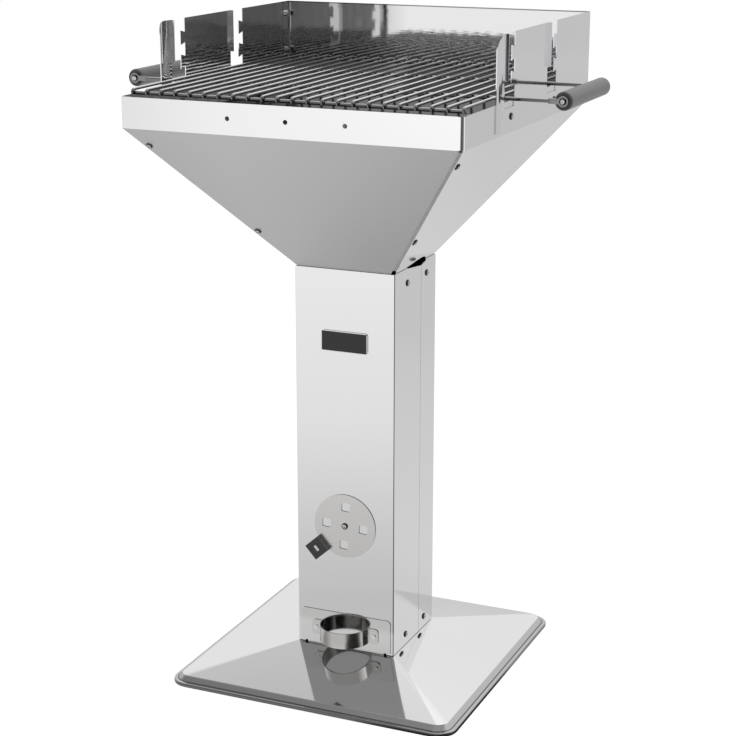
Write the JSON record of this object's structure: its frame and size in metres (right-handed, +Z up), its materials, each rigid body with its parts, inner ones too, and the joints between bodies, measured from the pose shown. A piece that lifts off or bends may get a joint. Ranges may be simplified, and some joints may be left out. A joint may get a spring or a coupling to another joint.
{
  "type": "funnel charcoal grill",
  "caption": "Free-standing stainless charcoal grill: funnel firebox on a square column and pressed base, with a toothed wind guard, lift-out grates, rotary air vent and ash drawer.",
  "frame": {"origin": "centre of the bounding box on the ground, under the column's axis", "axes": "+Z up, front (vent and ash drawer) towards -Y, grips along X"},
  "size_m": [0.642, 0.5024, 0.926],
  "materials": {
    "polished_sheet": "mirror-polished stainless steel sheet",
    "satin_sheet": "satin stainless steel sheet",
    "plated_wire": "bright plated steel wire",
    "fasteners": "bright zinc-plated steel",
    "black_plastic": "satin black heat-resistant plastic",
    "badge_plate": "blank black enamel with a bare metal edge"
  },
  "bodies": {
    "frame": {"base_pan": "polished_sheet", "column_front_shell": "polished_sheet", "column_rear_shell": "polished_sheet", "funnel_front_panel": "polished_sheet", "funnel_right_panel": "polished_sheet", "funnel_rear_panel": "polished_sheet", "funnel_left_panel": "polished_sheet", "guard_right_wall": "polished_sheet", "guard_left_wall": "polished_sheet", "guard_rear_wall": "polished_sheet", "badge": "badge_plate", "vent_pivot_screw": "fasteners", "vent_pivot_washer": "fasteners", "vent_pivot_nut": "fasteners", "column_top_screws": "fasteners", "column_top_nuts": "fasteners", "column_foot_screws": "fasteners", "column_foot_nuts": "fasteners", "funnel_corner_screws": "fasteners", "funnel_corner_nuts": "fasteners", "guard_side_screws": "fasteners", "guard_side_nuts": "fasteners", "guard_rear_screws": "fasteners", "guard_rear_nuts": "fasteners", "guard_corner_screws": "fasteners", "guard_corner_nuts": "fasteners"},
    "cooking_grate": {"cooking_grate_rods": "plated_wire", "cooking_grate_front_rod": "plated_wire", "cooking_grate_rear_rod": "plated_wire", "handle_arm_front": "plated_wire", "handle_arm_rear": "plated_wire", "left_grip": "black_plastic", "right_grip": "black_plastic", "grip_screws": "fasteners"},
    "charcoal_grate": {"charcoal_grate_bars": "plated_wire", "charcoal_grate_cross_rods": "plated_wire"},
    "air_vent": {"vent_disc": "satin_sheet", "vent_knob": "black_plastic"},
    "ash_drawer": {"drawer_front_plate": "satin_sheet", "drawer_tray": "satin_sheet", "drawer_strap_handle": "satin_sheet", "drawer_rivets": "fasteners"}
  },
  "joints": [
    {"name": "cooking_grate_lift", "type": "slide", "parent": "frame", "child": "cooking_grate", "axis": [0, 0, 1], "range_m": [0, 0.08]},
    {"name": "charcoal_grate_lift", "type": "slide", "parent": "frame", "child": "charcoal_grate", "axis": [0, 0, 1], "range_m": [0, 0.1]},
    {"name": "air_vent_turn", "type": "hinge", "parent": "frame", "child": "air_vent", "pos_m": [0, -0.0758, 0.224], "axis": [0, -1, 0], "range_deg": [-42, 48]},
    {"name": "ash_drawer_slide", "type": "slide", "parent": "frame", "child": "ash_drawer", "axis": [0, -1, 0], "range_m": [0, 0.12]}
  ]
}
